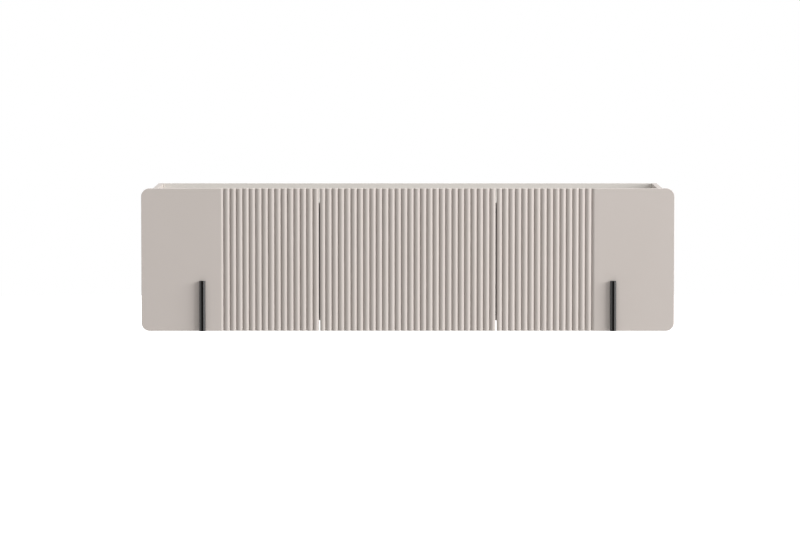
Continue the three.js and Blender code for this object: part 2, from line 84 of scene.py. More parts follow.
# Fronts
OUTER_REEDS = 15
CENTRE_REEDS = 28
OUTER_PITCH = 21.54
CENTRE_PITCH = 2 * GAP_X / CENTRE_REEDS
REED_DEPTH = 8.5
REED_STEPS = 22
FRONT_GAP = 4
OUTER_CORNER = 27
PAINTED_EDGE = 1.2
CRISP_EDGE = 0.12
REBATE_DEPTH = 2.1

# Handles
HANDLE_X = (-704, -684)
HANDLE_LENGTH = 170
HANDLE_FACE = FACE - 16
HANDLE_CHAMFER = (6.8, 4.4)  # across and back
HANDLE_SCREWS = {"lower": BOTTOM + 37, "upper": BOTTOM + 133}  # heights

# Back panels, their cable holes and grommets
PANEL = (-28, -20)
CABLE_HOLE_Z = -240
CABLE_HOLE_RADIUS = 30.3
GROMMET_RADIUS = 36

# Hinges
PIVOT_Y = -356.5
PIVOT_Z = 105
HINGE_LENGTH = 500
HINGE_X = {"left": -580, "centre": 0, "right": 580}
LEAF_FACE = 1.2  # off the pivot's plane
LEAF_Z = (-23, -3.6)  # below the pivot
KNUCKLE = 12.5
KNUCKLE_GAP = 0.3
KNUCKLE_RADIUS = 3
KNUCKLE_BORE = 1.8
PIN_RADIUS = 1.4

# Gas struts
STRUT_FOOT = Vector((0, PIVOT_Y + 140, PIVOT_Z - 206))
STRUT_HEAD = Vector((0, PIVOT_Y + 14, PIVOT_Z - 86))
STRUT_LENGTH = (STRUT_HEAD - STRUT_FOOT).length
STRUT_WALL = {"left": -SIDE_INNER, "centre": -GAP_X + BOARD / 2, "right": -SIDE_INNER}
STRUT_OFF_WALL = 16
SOCKET_RADIUS = 6.5
TUBE_RADIUS = 7.5
TUBE_START = 12.4
TUBE_END = STRUT_LENGTH - 14
ROD_RADIUS = 3

# Catches and push latch
CATCH_X = -600
CATCH_MOUTH = -355
LATCH_FRONT = -351.5
PLUNGER_RADIUS = 4

# Wall fixing
RAIL_X = (-840, 840)
RAIL_SLOTS = (100, 300, 500, 700)
HANGER_X = (-SIDE_INNER + FIT, -SIDE_INNER + FIT + 18)  # the left one's
HANGER_Y = (-74.6, -28.6)
HOOK_X = (-839.9, -827.9)


# Finishes


def colour(code):
    """An sRGB hex colour as linear red, green, blue and alpha."""
    parts = [int(code[i : i + 2], 16) / 255 for i in (1, 3, 5)]
    return (*(c / 12.92 if c <= 0.04045 else ((c + 0.055) / 1.055) ** 2.4 for c in parts), 1)


def add(tree, kind, settings=None, links=None):
    """Adds a node with its settings and its links from other nodes' sockets."""
    node = tree.nodes.new(kind)
    for name, value in (settings or {}).items():
        if isinstance(name, str) and hasattr(node, name):
            setattr(node, name, value)
        else:
            node.inputs[name].default_value = value
    for name, socket in (links or {}).items():
        tree.links.new(socket, node.inputs[name])
    return node


def finish(name, shades, patch, grain, bump, roughness, spread=0.0, stretch=(1, 1, 1), **shader):
    """A material whose colour drifts between two shades in patches of one size, in millimetres, and
    whose relief and roughness follow a grain of another size. Stretch draws the grain out."""
    material = bpy.data.materials.new(name)
    material.use_nodes = True
    tree = material.node_tree
    tree.nodes.clear()
    place = add(tree, "ShaderNodeTexCoord").outputs["Object"]
    drift = add(
        tree,
        "ShaderNodeTexNoise",
        {"Scale": 1 / (patch * MM), "Detail": 3, "Roughness": 0.55},
        {"Vector": place},
    )
    tint = add(
        tree,
        "ShaderNodeMix",
        {"data_type": "RGBA", 6: colour(shades[0]), 7: colour(shades[1])},
        {0: drift.outputs["Fac"]},
    )
    drawn = add(tree, "ShaderNodeMapping", {"Scale": [1 / s for s in stretch]}, {"Vector": place})
    fine = add(
        tree,
        "ShaderNodeTexNoise",
        {"Scale": 1 / (grain * MM), "Detail": 2, "Roughness": 0.5},
        {"Vector": drawn.outputs["Vector"]},
    )
    gloss = add(
        tree,
        "ShaderNodeMapRange",
        {"To Min": roughness - spread, "To Max": roughness + spread},
        {"Value": fine.outputs["Fac"]},
    )
    relief = add(
        tree,
        "ShaderNodeBump",
        {"Strength": 1.0, "Distance": bump * MM},
        {"Height": fine.outputs["Fac"]},
    )
    surface = add(
        tree,
        "ShaderNodeBsdfPrincipled",
        shader,
        {
            "Base Color": tint.outputs[2],
            "Roughness": gloss.outputs["Result"],
            "Normal": relief.outputs["Normal"],
        },
    )
    add(tree, "ShaderNodeOutputMaterial", {}, {"Surface": surface.outputs["BSDF"]})
    return material


# Matt polyurethane lacquer sprayed on MDF. The eye gets an even, warm grey-beige with a soft, wide
# sheen; the orange peel of about 1.5 mm is drawn at 3 mm, so that it shows.
lacquer = finish(
    "matt_greige_lacquer", ("#c2bab4", "#c6beb9"),
    patch=240, grain=3, bump=0.01, roughness=0.56, spread=0.04, IOR=1.5,
)
# The same lacquer in a paler, more neutral shade, for the tray's floor and back rim: painted light,
# made lighter so that the rim shows as bright as more light on it would make it.
tray_painted_lighter = finish(
    "painted_light_pale_tray_finish", ("#c9c5c0", "#cdc9c4"),
    patch=240, grain=3, bump=0.01, roughness=0.56, spread=0.04, IOR=1.5,
)
# Melamine-faced board inside the cabinet: the same colour, with a fine dull pore structure.
inner_board = finish(
    "greige_melamine_board", ("#c4bdb5", "#cbc4bd"),
    patch=90, grain=1.2, bump=0.02, roughness=0.58, spread=0.06, stretch=(3, 1, 1), IOR=1.5,
)
# Extruded aluminium bar, blasted and anodised black: an even near-black with hardly any sheen.
anodised = finish(
    "black_anodised_aluminium", ("#090908", "#0d0c0b"),
    patch=40, grain=0.5, bump=0.004, roughness=0.5, spread=0.05, stretch=(1, 1, 40),
    IOR=1.5, **{"Specular IOR Level": 0.03},
)
# Its chamfers are cut after the blasting: a satin line where one turns to the light.
cut_chamfer = finish(
    "black_anodised_cut_chamfer", ("#0f0e0d", "#151312"),
    patch=40, grain=0.5, bump=0.002, roughness=0.3, spread=0.04, stretch=(1, 1, 40),
    IOR=1.5, **{"Specular IOR Level": 0.5},
)
# Black POM and ABS, spark-eroded in the mould: a dull even black with a fine sparkle.
black_plastic = finish(
    "black_moulded_plastic", ("#1d1c1b", "#252423"),
    patch=12, grain=0.6, bump=0.02, roughness=0.48, spread=0.06, IOR=1.47,
)
# Grey ABS of the catches and the hanger covers, moulded: an even mid grey, dull all over.
grey_plastic = finish(
    "grey_moulded_abs", ("#8a8886", "#959391"),
    patch=15, grain=0.6, bump=0.02, roughness=0.5, spread=0.06, IOR=1.53,
)
# Rolled steel strip, nickel plated: warm silver with fine lines along the strip.
nickel = finish(
    "nickel_plated_steel", ("#b3afa6", "#c2beb5"),
    patch=30, grain=0.4, bump=0.004, roughness=0.32, spread=0.08, stretch=(60, 1, 1), Metallic=1,
)
# Pressed steel, bright zinc plated: cool grey, faintly cloudy.
zinc = finish(
    "zinc_plated_steel", ("#9c9fa2", "#b6b9bb"),
    patch=6, grain=0.8, bump=0.006, roughness=0.38, spread=0.09, Metallic=1,
)
# Steel tube with a black stoved paint: glossy, with a slight peel.
strut_paint = finish(
    "black_stoved_paint", ("#151515", "#1b1b1b"),
    patch=25, grain=1.5, bump=0.01, roughness=0.26, spread=0.05, IOR=1.5,
)
# Steel rod, ground and hard chromed: a bright, cool mirror.
chrome = finish(
    "hard_chromed_steel", ("#c9cbcd", "#d4d6d8"),
    patch=20, grain=0.3, bump=0.001, roughness=0.1, spread=0.03, stretch=(1, 1, 0.2), Metallic=1,
)
# Pressed ferrite magnet: dull charcoal.
ferrite = finish(
    "pressed_ferrite", ("#35332f", "#3f3c38"),
    patch=4, grain=0.5, bump=0.02, roughness=0.62, spread=0.08, IOR=1.6,
)
# Soft rubber buffer, moulded: dull black.
rubber = finish(
    "black_rubber", ("#161616", "#1e1d1c"),
    patch=5, grain=0.4, bump=0.02, roughness=0.7, spread=0.08, IOR=1.52,
)


# Shapes. A piece is put together from one or more bmeshes, and each has its own finish.


def around(middle, half):
    """The two ends of a length that reaches half to each side of its middle."""
    return middle - half, middle + half


def bevel(shape, edges, width, steps=3):
    """Rounds some edges."""
    return bmesh.ops.bevel(
        shape, geom=edges, offset=width, affect="EDGES", segments=steps, profile=0.5, material=-1
    )


def soften(shape, width, steps=2, beyond=40):
    """Rounds every edge that turns by more than a number of degrees."""
    sharp = [
        e
        for e in shape.edges
        if len(e.link_faces) == 2 and e.calc_face_angle(0) > math.radians(beyond)
    ]
    bevel(shape, sharp, width, steps)
    return shape


def block(x, y, z, ease=0.5, steps=2, corners=None, radius=0):
    """A block with its edges eased. Corners names the axis whose four edges get a larger radius."""
    low, high = (Vector(ends) for ends in zip(x, y, z))
    shape = bmesh.new()
    size = Matrix.Diagonal((*(high - low), 1))
    bmesh.ops.create_cube(shape, size=1, matrix=Matrix.Translation((low + high) / 2) @ size)
    if corners:
        axis = "xyz".index(corners)
        along = [e for e in shape.edges if abs((e.verts[0].co - e.verts[1].co)[axis]) > 1e-6]
        bevel(shape, along, radius, 5)
    return soften(shape, ease, steps) if ease else shape


def turned(profile, sides=32, ease=0.0, steps=2):
    """A shape turned round the Z axis, from [radius, height] points."""
    shape = bmesh.new()
    points = [shape.verts.new((radius, 0, height)) for radius, height in profile]
    lines = [shape.edges.new(pair) for pair in zip(points, points[1:])]
    bmesh.ops.spin(
        shape,
        geom=points + lines,
        cent=(0, 0, 0),
        axis=(0, 0, 1),
        angle=math.tau,
        steps=sides,
        use_merge=True,
    )
    bmesh.ops.remove_doubles(shape, verts=shape.verts, dist=0.001)
    bmesh.ops.recalc_face_normals(shape, faces=shape.faces)
    return soften(shape, ease, steps) if ease else shape


def bar(radius, start, end, sides=24, ease=0.3):
    """A round bar along Z with eased ends."""
    return turned([(0, start), (radius, start), (radius, end), (0, end)], sides, ease)


def lay(shape, along=(0, 0, 1), at=(0, 0, 0)):
    """Turns a shape drawn along Z so that it points another way, and moves it to its place."""
    turn = Vector(along).to_track_quat("Z", "Y").to_matrix().to_4x4()
    bmesh.ops.transform(shape, matrix=Matrix.Translation(at) @ turn, verts=shape.verts)
    return shape


def as_mesh(shape):
    """A bmesh as a mesh."""
    mesh = bpy.data.meshes.new("drawing")
    shape.to_mesh(mesh)
    shape.free()
    return mesh


def together(shapes):
    """Several shapes as one."""
    whole = bmesh.new()
    for shape in shapes:
        mesh = as_mesh(shape)
        whole.from_mesh(mesh)
        bpy.data.meshes.remove(mesh)
    return whole


def cut(shape, cutter):
    """Takes the cutter's shape out of a shape."""
    body, tool = (bpy.data.objects.new("cutting", as_mesh(s)) for s in (shape, cutter))
    for held in (body, tool):
        scene.collection.objects.link(held)
    change = body.modifiers.new("cut", "BOOLEAN")
    change.operation, change.solver, change.object = "DIFFERENCE", "EXACT", tool
    result = bmesh.new()
    result.from_object(body, bpy.context.evaluated_depsgraph_get())
    for held in (body, tool):
        mesh = held.data
        bpy.data.objects.remove(held)
        bpy.data.meshes.remove(mesh)
    return result


def folded(path, bends, x, thickness, ease=0.2):
    """Sheet metal folded along X. Path holds the [y, z] corners of one side and bends the radius at
    each corner between its ends. The sheet thickens to the right of the path's direction."""
    shape = bmesh.new()
    points = [shape.verts.new((x[0], y, z)) for y, z in path]
    lines = [shape.edges.new(pair) for pair in zip(points, points[1:])]
    swept = bmesh.ops.extrude_edge_only(shape, edges=lines)["geom"]
    far = [g for g in swept if isinstance(g, bmesh.types.BMVert)]
    bmesh.ops.translate(shape, vec=(x[1] - x[0], 0, 0), verts=far)
    for (y, z), radius in zip(path[1:-1], bends):
        fold = [
            e
            for e in shape.edges
            if len(e.link_faces) == 2
            and all(math.hypot(v.co.y - y, v.co.z - z) < 0.01 for v in e.verts)
        ]
        bevel(shape, fold, radius, 5)
    bmesh.ops.recalc_face_normals(shape, faces=shape.faces)
    bmesh.ops.solidify(shape, geom=shape.faces[:], thickness=thickness)
    bmesh.ops.recalc_face_normals(shape, faces=shape.faces)
    return soften(shape, ease, 2, 60) if ease else shape


def cross_head(radius, height, recess):
    """The head of a screw with a cross recess, standing on its seat and crowned upwards."""
    crown = [
        (0, 0),
        (radius, 0),
        (radius, 0.4 * height),
        (0.75 * radius, 0.85 * height),
        (0, height),
    ]
    shape = turned(crown, 20)
    arm, width = 0.58 * radius, 0.15 * radius
    for x, y in ((arm, width), (width, arm)):
        slot = block((-x, x), (-y, y), (height - recess, height + 1), 0)
        shape = cut(shape, slot)
    return as_mesh(shape)


def heads(pattern, places, along):
    """Screw heads of one pattern at several places, all pointing one way. Each was tightened to
    another angle."""
    shape = bmesh.new()
    turn = Vector(along).to_track_quat("Z", "Y").to_matrix().to_4x4()
    for i, place in enumerate(places):
        first = len(shape.verts)
        shape.from_mesh(pattern)
        shape.verts.ensure_lookup_table()
        spun = turn @ Matrix.Rotation(SCREW_TURN * i, 4, "Z")
        bmesh.ops.transform(
            shape, matrix=Matrix.Translation(place) @ spun, verts=shape.verts[first:]
        )
    return shape


def mirrored(shape):
    """The shape on the console's other side."""
    bmesh.ops.scale(shape, vec=(-1, 1, 1), verts=shape.verts)
    bmesh.ops.reverse_faces(shape, faces=shape.faces)
    return shape


def make(node, word, parts, mirror=False):
    """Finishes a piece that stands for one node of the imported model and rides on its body. Parts
    are pairs of a shape and its finish."""
    whole = bmesh.new()
    finishes = []
    for shape, material in parts:
        if material not in finishes:
            finishes.append(material)
        bmesh.ops.recalc_face_normals(shape, faces=shape.faces)
        for face in shape.faces:
            face.material_index = finishes.index(material)
            face.smooth = True
        mesh = as_mesh(mirrored(shape) if mirror else shape)
        whole.from_mesh(mesh)
        bpy.data.meshes.remove(mesh)
    bmesh.ops.scale(whole, vec=(MM, MM, MM), verts=whole.verts)
    mesh = as_mesh(whole)
    name = f"{node}_{word}"
    mesh.name = name
    mesh.set_sharp_from_angle(angle=math.radians(35))
    for material in finishes:
        mesh.materials.append(material)
    made = bpy.data.objects.new(name, mesh)
    scene.collection.objects.link(made)
    # Large faces keep their own normal up to the eased edge, so flat boards shade as flat.
    made.modifiers.new("flat_faces_stay_flat", "WEIGHTED_NORMAL").keep_sharp = True
    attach(made, nodes[node]["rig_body"])
    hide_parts(node)
    return made


def board(node, material, ease=1.0):
    """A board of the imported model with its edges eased."""
    shape = bmesh.new()
    shape.from_mesh(nodes[node].data)
    bmesh.ops.remove_doubles(shape, verts=shape.verts, dist=1e-6)
    bmesh.ops.scale(shape, vec=(1 / MM,) * 3, verts=shape.verts)
    bmesh.ops.dissolve_limit(
        shape, angle_limit=math.radians(1), verts=shape.verts, edges=shape.edges
    )
    make(node, "board", [(soften(shape, ease, 3, 60), material)])


# Fronts


def reed(shape, pitch, crest, start, end):
    """One half-round reed of a row with the given pitch, from start to end off its crest line."""
    radius = ((pitch / 2) ** 2 + REED_DEPTH**2) / (2 * REED_DEPTH)
    first = math.asin(start / radius)
    arc = math.asin(end / radius) - first
    x = crest + start
    y = FACE + radius * (1 - math.cos(first))
    ends = [shape.verts.new((x, y, z)) for z in (BOTTOM, TOP)]
    bmesh.ops.spin(
        shape,
        geom=[*ends, shape.edges.new(ends)],
        cent=(crest, FACE + radius, 0),
        axis=(0, 0, 1),
        angle=arc,
        steps=max(2, round(REED_STEPS * (end - start) / pitch)),
    )


def at_face(edge):
    """True where an edge parts the front's face from its narrow sides."""
    return sum(face.normal.y < -0.4 for face in edge.link_faces) == 1


def beside(edge, sides, plain):
    """True for an upright edge along a gap between two fronts."""
    places = sides[1:] if plain else sides
    upright = abs(edge.verts[0].co.z - edge.verts[1].co.z) > 20
    return upright and any(abs(edge.verts[0].co.x - x) < 0.05 for x in places)


def reeded_front(left, right, first_groove, reeds, pitch, hinge_x):
    """A front: its face is drawn reed by reed and then drawn back to the flat rear side."""
    shape = bmesh.new()
    half = pitch / 2
    plain = first_groove - left > pitch
    if plain:
        reed(shape, pitch, first_groove - half, 0, half)
        ends = [shape.verts.new((left, FACE, z)) for z in (BOTTOM, TOP)]
        swept = bmesh.ops.extrude_edge_only(shape, edges=[shape.edges.new(ends)])["geom"]
        far = [g for g in swept if isinstance(g, bmesh.types.BMVert)]
        bmesh.ops.translate(shape, vec=(first_groove - half - left, 0, 0), verts=far)
    for i in range(reeds):
        crest = first_groove + (i + 0.5) * pitch
        reed(shape, pitch, crest, max(left - crest, -half), min(right - crest, half))
    bmesh.ops.remove_doubles(shape, verts=shape.verts, dist=0.01)

    rim = [e for e in shape.edges if e.is_boundary]
    swept = bmesh.ops.extrude_edge_only(shape, edges=rim)["geom"]
    rear = [g for g in swept if isinstance(g, bmesh.types.BMVert)]
    to_rear = Matrix.Translation((0, -BACK, 0))
    bmesh.ops.scale(shape, vec=(1, 0, 1), space=to_rear, verts=rear)
    bmesh.ops.holes_fill(shape, edges=[e for e in shape.edges if e.is_boundary], sides=0)
    bmesh.ops.recalc_face_normals(shape, faces=shape.faces)

    if plain:
        outer = [
            e
            for e in shape.edges
            if all(abs(v.co.x - left) < 0.01 for v in e.verts)
            and abs(e.verts[0].co.y - e.verts[1].co.y) > 1
        ]
        bevel(shape, outer, OUTER_CORNER, 14)
    # The edges along a gap stay crisp; all others are eased for the paint.
    eased = [e for e in shape.edges if at_face(e) and not beside(e, (left, right), plain)]
    bevel(shape, eased, PAINTED_EDGE, 3)
    crisp = [e for e in shape.edges if at_face(e) and beside(e, (left, right), plain)]
    bevel(shape, crisp, CRISP_EDGE, 2)
    rebate = block(
        around(hinge_x, HINGE_LENGTH / 2 + 1),
        (BACK - REBATE_DEPTH, BACK + 5),
        (PIVOT_Z + LEAF_Z[1], TOP + 5),
        0,
    )
    return cut(shape, rebate)


def make_fronts():
    """The three fronts. Each row of reeds starts and ends in the middle of a gap."""
    half_gap = FRONT_GAP / 2
    for side in SIDES:
        first = -GAP_X - OUTER_REEDS * OUTER_PITCH
        shape = reeded_front(
            -HALF_WIDTH, -GAP_X - half_gap, first, OUTER_REEDS, OUTER_PITCH, HINGE_X["left"]
        )
        parts = [(shape, lacquer)]
        make(f"{side}_front", "reeded", parts, side == "right")
    edge = GAP_X - half_gap
    shape = reeded_front(-edge, edge, -GAP_X, CENTRE_REEDS, CENTRE_PITCH, HINGE_X["centre"])
    make("centre_front", "reeded", [(shape, lacquer)])


def handle_bar():
    """A bar whose two upright front edges are chamfered, more across than back."""
    shape = block(HANDLE_X, (HANDLE_FACE, FACE - FIT), (BOTTOM, BOTTOM + HANDLE_LENGTH), 0)
    nose = [
        e
        for e in shape.edges
        if all(v.co.y < HANDLE_FACE + 1 for v in e.verts)
        and abs(e.verts[0].co.z - e.verts[1].co.z) > 1
    ]
    across, back = HANDLE_CHAMFER
    bevel(shape, nose, across, 1)
    rear = [v for v in shape.verts if abs(v.co.y - HANDLE_FACE - across) < 0.1]
    bmesh.ops.translate(shape, vec=(0, back - across, 0), verts=rear)
    return soften(shape, 0.6, 3, 30)


def make_handles():
    """A bar and its two screws from behind, on each outer front."""
    for side in SIDES:
        flip = side == "right"
        handle = make(f"{side}_handle", "bar", [(handle_bar(), anodised)], flip)
        handle.data.materials.append(cut_chamfer)
        for face in handle.data.polygons:
            if face.normal.y < -0.5 and abs(face.normal.x) > 0.3:
                face.material_index = 1
        for word, z in HANDLE_SCREWS.items():
            place = (sum(HANDLE_X) / 2, BACK + FIT, z)
            shank = lay(bar(2, 0, 29.6, 16), (0, -1, 0), place)
            head = heads(pan_head, [place], (0, 1, 0))
            parts = [(head, zinc), (shank, zinc)]
            make(f"{side}_handle_screw_{word}", "machine_screw", parts, flip)


# Carcass


def make_boards():
    """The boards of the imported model, each in its own finish."""
    # The tray's boards get the paler copy of the lacquer, which paints light on them.
    for node in ("top_board", "back_upstand"):
        board(node, tray_painted_lighter)
    for node in ("centre_hinge_rail", "bottom_board"):
        board(node, lacquer)
    for side in SIDES:
        board(f"{side}_side_panel", lacquer)
        board(f"{side}_hinge_rail", lacquer)
        board(f"{side}_divider", inner_board, 0.8)
        board(f"{side}_shelf", inner_board, 0.8)


def grommet():
    """A sleeve through the back panel with a wide, flat flange."""
    sleeve, flange = CABLE_HOLE_RADIUS - FIT, GROMMET_RADIUS
    profile = [
        (27, 20),
        (sleeve, 20),
        (sleeve, 28.3),
        (flange, 28.3),
        (flange, 29.2),
        (34.6, 30.2),
        (27.9, 30.3),
        (27, 29.4),
        (27, 20),
    ]
    return turned(profile, 64, 0.3)


def make_back():
    """Thin back panels with a round cable hole, each lined by a grommet."""
    outer = SIDE_INNER - FIT
    from_divider = BOARD / 2 + FIT
    panels = {
        "left": (-outer, -GAP_X - from_divider),
        "centre": (-GAP_X + from_divider, GAP_X - from_divider),
        "right": (GAP_X + from_divider, outer),
    }
    for side, x in panels.items():
        middle = sum(x) / 2
        panel = block(x, PANEL, (FLOOR + FIT, CEILING - FIT), 0)
        drill = bar(CABLE_HOLE_RADIUS, 0, 12, 64, 0)
        panel = cut(panel, lay(drill, (0, 1, 0), (middle, PANEL[0] - 2, CABLE_HOLE_Z)))
        if side != "centre":
            # The hanger's hook passes through a notch in the upper outer corner.
            end = max(x, key=abs)
            corner = sorted((end - math.copysign(22, end), end + math.copysign(2, end)))
            notch = block(corner, (PANEL[0] - 2, PANEL[1] + 2), (10, CEILING + 1), 0)
            panel = cut(panel, notch)
        soften(panel, 0.4, 2, 60)
        make(f"{side}_back_panel", "board", [(panel, inner_board)])
        lining = lay(grommet(), (0, -1, 0), (middle, 0, CABLE_HOLE_Z))
        make(f"{side}_cable_grommet", "lining", [(lining, black_plastic)])


# Hinges


def hinge_leaf(side, first, x):
    """One leaf with every second knuckle and its screws. Side is 1 on the cabinet's rail and -1 on
    the front."""
    y = sorted((side * FIT, side * LEAF_FACE))
    end = HINGE_LENGTH / 2
    parts = [block((-end, end), y, LEAF_Z, 0.15, corners="y", radius=2)]
    length = KNUCKLE - KNUCKLE_GAP
    ring = [
        (KNUCKLE_BORE, 0),
        (KNUCKLE_RADIUS, 0),
        (KNUCKLE_RADIUS, length),
        (KNUCKLE_BORE, length),
        (KNUCKLE_BORE, 0),
    ]
    for i in range(first, round(HINGE_LENGTH / KNUCKLE), 2):
        start = -end + i * KNUCKLE + KNUCKLE_GAP / 2
        parts.append(block((start, start + length), y, (-4.2, -2.0), 0))
        parts.append(lay(turned(ring, 20), (1, 0, 0), (start, 0, 0)))
    shape = together(parts)
    places = [(-225 + 75 * i, side * FIT, -14) for i in range(7)]
    screws = heads(flat_head, places, (0, -side, 0))
    for part in (shape, screws):
        bmesh.ops.translate(part, vec=(x, PIVOT_Y, PIVOT_Z), verts=part.verts)
    return [(shape, nickel), (screws, zinc)]


def make_hinges():
    """A long hinge with a drawn pin along the top of each front."""
    for side, x in HINGE_X.items():
        make(f"{side}_hinge_frame_leaf", "rolled", hinge_leaf(1, 0, x))
        make(f"{side}_hinge_front_leaf", "rolled", hinge_leaf(-1, 1, x))
        pin = bar(PIN_RADIUS, -HINGE_LENGTH / 2 + FIT, HINGE_LENGTH / 2 - FIT, 20, 0.4)
        lay(pin, (1, 0, 0), (x, PIVOT_Y, PIVOT_Z))
        make(f"{side}_hinge_pin", "drawn", [(pin, nickel)])


# Gas struts


def socket(height):
    """A ball socket with its safety clip, across the strut at a height along it."""
    wide, narrow = SOCKET_RADIUS, SOCKET_RADIUS - 1.3
    barrel = [(0, -6), (narrow, -6), (wide, -4.4), (wide, 4.4), (narrow, 6), (0, 6)]
    ring = [(wide - 0.5, -1), (wide, -0.6), (wide, 0.6), (wide - 0.5, 1), (wide - 0.5, -1)]
    cup = lay(turned(barrel, 32, 0.5), (1, 0, 0))
    clip = lay(turned(ring, 32), (1, 0, 0))
    for part in (cup, clip):
        bmesh.ops.translate(part, vec=(0, 0, height), verts=part.verts)
    return [(cup, black_plastic), (clip, zinc)]


def strut_cylinder():
    """The painted tube with a groove rolled in near its open end, and the socket at its foot."""
    neck = turned([(0, 4), (4, 4), (4, 12.6), (0, 12.6)], 6, 0.3)
    wide, groove, bore = TUBE_RADIUS, TUBE_RADIUS - 0.4, ROD_RADIUS + 0.5
    profile = [
        (0, TUBE_START),
        (4.4, TUBE_START),
        (wide, TUBE_START + 2),
        (wide, TUBE_END - 3),
        (groove, TUBE_END - 2.4),
        (groove, TUBE_END - 1.8),
        (wide, TUBE_END - 1.4),
        (wide, TUBE_END - 1),
        (wide - 1.5, TUBE_END),
        (bore, TUBE_END),
        (bore, 18),
        (0, 18),
    ]
    return [*socket(0), (neck, zinc), (turned(profile, 40, 0.3), strut_paint)]


def strut_rod():
    """The chromed rod with the nut and the socket at its head."""
    end = TUBE_END + 0.6
    rod = turned([(0, 19), (ROD_RADIUS - 0.4, 19), (ROD_RADIUS, 19.6), (ROD_RADIUS, end), (0, end)])
    low, high = TUBE_END + 0.5, STRUT_LENGTH - 4
    nut = turned([(0, low), (4, low), (4, high), (0, high)], 6, 0.3)
    return [(rod, chrome), (nut, zinc), *socket(STRUT_LENGTH)]


def foot_bracket(wall):
    """A plate with a ball stud, screwed to a cabinet side or a divider."""
    _, y, z = STRUT_FOOT
    face = wall + 2.8
    plate = block((wall + FIT, face), around(y, 12), around(z, 17), 0.4, corners="x", radius=4)
    stud = turned([(0, 2), (4.4, 2), (4.4, 4.6), (3.5, 5.2), (3.5, 9.6), (0, 9.6)], 24, 0.3)
    lay(stud, (1, 0, 0), (wall, y, z))
    screws = heads(plate_head, [(face, y, z + dz) for dz in (-11.5, 11.5)], (1, 0, 0))
    return [(plate, zinc), (stud, zinc), (screws, zinc)]


def head_bracket(near):
    """A bent plate with a ball stud on its ear, screwed to the rear of a front."""
    _, y, z = STRUT_HEAD
    seat = BACK + FIT
    face = seat + 2.5
    plate = block((near, near + 28), (seat, face), around(z, 15), 0.4, corners="y", radius=4)
    ear = block((near, near + 3), (seat, y + 6), around(z, 8), 0.4, corners="x", radius=0.8)
    stud = turned([(0, 0), (3.5, 0), (3.5, 4.2), (0, 4.2)], 24, 0.3)
    lay(stud, (-1, 0, 0), (near + 2.6, y, z))
    screws = heads(plate_head, [(near + 17, face, z + dz) for dz in (-8.5, 8.5)], (0, 1, 0))
    return [(plate, zinc), (ear, zinc), (stud, zinc), (screws, zinc)]


def make_struts():
    """The struts stand in their shut position. Their sockets stay across the cabinet."""
    lean = (STRUT_HEAD - STRUT_FOOT).normalized()
    turn = Matrix.Rotation(math.atan2(-lean.y, lean.z), 4, "X")
    for side, wall in STRUT_WALL.items():
        flip = side == "right"
        foot = STRUT_FOOT + Vector((wall + STRUT_OFF_WALL, 0, 0))
        stand = Matrix.Translation(foot) @ turn
        cylinder, rod = strut_cylinder(), strut_rod()
        for shape, _ in cylinder + rod:
            bmesh.ops.transform(shape, matrix=stand, verts=shape.verts)
        make(f"{side}_strut_cylinder", "assembled", cylinder, flip)
        make(f"{side}_strut_rod", "assembled", rod, flip)
        near = wall + STRUT_OFF_WALL + 8
        brackets = {"foot": foot_bracket(wall), "head": head_bracket(near)}
        for word, parts in brackets.items():
            make(f"{side}_strut_{word}_bracket", "pressed", parts, flip)


# Catches and push latch


def catch(low):
    """A magnetic catch: a case on a foot, and a magnet between two steel poles at its mouth."""
    mouth = CATCH_MOUTH
    foot = block(
        around(CATCH_X, 27), (mouth + 4, mouth + 26), (low, low + 2), 0.3, corners="z", radius=5
    )
    case = block(
        around(CATCH_X, 18),
        (mouth + 0.8, mouth + 30),
        (low, low + 13),
        0.6,
        steps=3,
        corners="z",
        radius=2,
    )
    poles = [
        block(around(CATCH_X, 14), (mouth, mouth + 5), (low + dz, low + dz + 1.6), 0.2)
        for dz in (2.6, 8.8)
    ]
    magnet = block(around(CATCH_X, 13), (mouth + 0.4, mouth + 5), (low + 4.4, low + 8.6), 0.2)
    places = [(x, mouth + 15, low + 2) for x in around(CATCH_X, 22.6)]
    return [
        (foot, grey_plastic),
        (case, grey_plastic),
        (together(poles), zinc),
        (magnet, ferrite),
        (heads(plate_head, places, (0, 0, 1)), zinc),
    ]


def make_catches():
    """A catch on the cabinet's floor and its plate on the front, for each front with a handle."""
    low = FLOOR + FIT
    seat = BACK + FIT
    for side in SIDES:
        flip = side == "right"
        make(f"{side}_catch", "magnetic", catch(low), flip)
        face = seat + 1.7
        plate = block(
            around(CATCH_X, 17), (seat, face), (low, low + 12), 0.3, corners="y", radius=2.5
        )
        screws = heads(flat_head, [(CATCH_X, face, low + 6)], (0, 1, 0))
        parts = [(plate, zinc), (screws, zinc)]
        make(f"{side}_catch_plate", "pressed", parts, flip)


